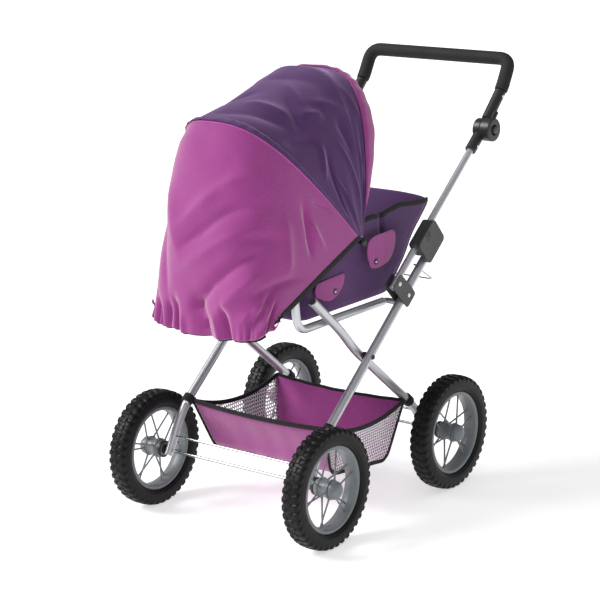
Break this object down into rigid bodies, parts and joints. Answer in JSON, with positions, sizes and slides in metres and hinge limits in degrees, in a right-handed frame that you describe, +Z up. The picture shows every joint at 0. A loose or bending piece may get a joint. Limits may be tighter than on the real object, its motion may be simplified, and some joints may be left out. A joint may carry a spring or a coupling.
{
  "type": "doll stroller",
  "caption": "Folding four-wheel doll stroller: X-frame of tubes, spoked wheels, ratchet push handle, folding hood with head cover, seat tub and mesh-sided basket.",
  "frame": {"origin": "on the ground under the middle of the overall length and width", "axes": "+Z up, +Y towards the push handle, -Y towards the hood's head end, +X to the right side"},
  "size_m": [0.4224, 0.7098, 0.7442],
  "materials": {
    "tyre": "moulded rubber tread",
    "grey_plastic": "satin moulded",
    "black_plastic": "satin moulded",
    "silver_tube": "silver powder coat",
    "plated_steel": "zinc plated",
    "grip_foam": "closed-cell foam",
    "purple_cloth": "plain weave polyester",
    "pink_cloth": "plain weave polyester",
    "black_binding": "woven binding tape",
    "white_mesh": "open knitted mesh"
  },
  "bodies": {
    "chassis": {"chassis_tube_left": "silver_tube", "chassis_tube_right": "silver_tube", "axle_front": "plated_steel", "stay_rod_front": "plated_steel", "axle_spacer_front_left": "black_plastic", "axle_spacer_front_right": "black_plastic", "crossing_pin_left": "black_plastic", "crossing_pin_right": "black_plastic", "bracket_left": "black_plastic", "bracket_right": "black_plastic", "handle_pivot_pin_left": "plated_steel", "handle_pivot_pin_right": "plated_steel", "seat_rail": "silver_tube", "rail_insert_left": "silver_tube", "rail_insert_right": "silver_tube", "seat_tub": "purple_cloth", "seat_mattress": "purple_cloth", "hood_pivot_left": "black_plastic", "hood_pivot_right": "black_plastic", "hood_bow_seam": "plated_steel", "hood_canopy": "purple_cloth", "head_cover": "pink_cloth", "basket": "pink_cloth"},
    "rear_frame": {"rear_leg_left": "silver_tube", "rear_leg_right": "silver_tube", "leg_end_cap_left": "black_plastic", "leg_end_cap_right": "black_plastic", "axle_rear": "plated_steel", "stay_rod_rear": "plated_steel", "axle_spacer_rear_left": "black_plastic", "axle_spacer_rear_right": "black_plastic"},
    "handle_frame": {"handle_tube_left": "silver_tube", "handle_tube_right": "silver_tube", "hinge_socket_lower_left": "black_plastic", "hinge_socket_lower_right": "black_plastic"},
    "handle_bar": {"handle_bar_tube": "plated_steel", "handle_grip": "grip_foam", "hinge_socket_upper_left": "black_plastic", "hinge_socket_upper_right": "black_plastic"},
    "hinge_button_left": {"hinge_button_left": "black_plastic"},
    "hinge_button_right": {"hinge_button_right": "black_plastic"},
    "lock_slider_left": {"lock_slider_left": "black_plastic", "lock_cheek_left": "black_plastic"},
    "lock_slider_right": {"lock_slider_right": "black_plastic", "lock_cheek_right": "black_plastic"},
    "lock_bail": {"lock_bail": "plated_steel"},
    "hood_bow_middle": {"hood_bow_middle": "plated_steel"},
    "hood_bow_front": {"hood_bow_front": "plated_steel"},
    "wheel_front_left": {"tyre_front_left": "tyre", "rim_front_left": "grey_plastic", "hub_cap_front_left": "grey_plastic"},
    "wheel_front_right": {"tyre_front_right": "tyre", "rim_front_right": "grey_plastic", "hub_cap_front_right": "grey_plastic"},
    "wheel_rear_left": {"tyre_rear_left": "tyre", "rim_rear_left": "grey_plastic", "hub_cap_rear_left": "grey_plastic"},
    "wheel_rear_right": {"tyre_rear_right": "tyre", "rim_rear_right": "grey_plastic", "hub_cap_rear_right": "grey_plastic"}
  },
  "joints": [
    {"name": "wheel_spin_front_left", "type": "hinge", "parent": "chassis", "child": "wheel_front_left", "pos_m": [-0.1842, -0.25505, 0.1], "axis": [1, 0, 0], "continuous": true},
    {"name": "wheel_spin_front_right", "type": "hinge", "parent": "chassis", "child": "wheel_front_right", "pos_m": [0.1842, -0.25505, 0.1], "axis": [1, 0, 0], "continuous": true},
    {"name": "wheel_spin_rear_left", "type": "hinge", "parent": "rear_frame", "child": "wheel_rear_left", "pos_m": [-0.1842, 0.09755, 0.1], "axis": [1, 0, 0], "continuous": true},
    {"name": "wheel_spin_rear_right", "type": "hinge", "parent": "rear_frame", "child": "wheel_rear_right", "pos_m": [0.1842, 0.09755, 0.1], "axis": [1, 0, 0], "continuous": true},
    {"name": "frame_fold", "type": "hinge", "parent": "chassis", "child": "rear_frame", "pos_m": [0, -0.08825, 0.274], "axis": [1, 0, 0], "range_deg": [-40, 0]},
    {"name": "handle_fold", "type": "hinge", "parent": "chassis", "child": "handle_frame", "pos_m": [0, -0.01275, 0.383], "axis": [1, 0, 0], "range_deg": [0, 150]},
    {"name": "handle_tilt", "type": "hinge", "parent": "handle_frame", "child": "handle_bar", "pos_m": [0, 0.25384, 0.60512], "axis": [1, 0, 0], "range_deg": [-45, 40]},
    {"name": "hinge_button_left_press", "type": "slide", "parent": "handle_bar", "child": "hinge_button_left", "axis": [1, 0, 0], "range_m": [0, 0.003], "stiffness_N_per_m": 300, "springref_m": -0.002},
    {"name": "hinge_button_right_press", "type": "slide", "parent": "handle_bar", "child": "hinge_button_right", "axis": [-1, 0, 0], "range_m": [0, 0.003], "stiffness_N_per_m": 300, "springref_m": -0.002},
    {"name": "lock_slide_left", "type": "slide", "parent": "handle_frame", "child": "lock_slider_left", "axis": [0, 0.7683, 0.6401], "range_m": [0, 0.05]},
    {"name": "lock_slide_right", "type": "slide", "parent": "handle_frame", "child": "lock_slider_right", "axis": [0, 0.7683, 0.6401], "range_m": [0, 0.05]},
    {"name": "bail_swing", "type": "hinge", "parent": "chassis", "child": "lock_bail", "pos_m": [0, 0.05825, 0.4], "axis": [1, 0, 0], "range_deg": [0, 45]},
    {"name": "hood_fold", "type": "hinge", "parent": "chassis", "child": "hood_bow_middle", "pos_m": [0, -0.06275, 0.459], "axis": [1, 0, 0], "range_deg": [0, 30], "deforming": ["hood_canopy"]},
    {"name": "hood_front_fold", "type": "hinge", "parent": "hood_bow_middle", "child": "hood_bow_front", "pos_m": [0, -0.06275, 0.459], "axis": [1, 0, 0], "range_deg": [0, 6.9], "deforming": ["hood_canopy"]}
  ],
  "couplings": [
    {"joint": "hood_front_fold", "follows": "hood_fold", "ratio": 0.23}
  ]
}
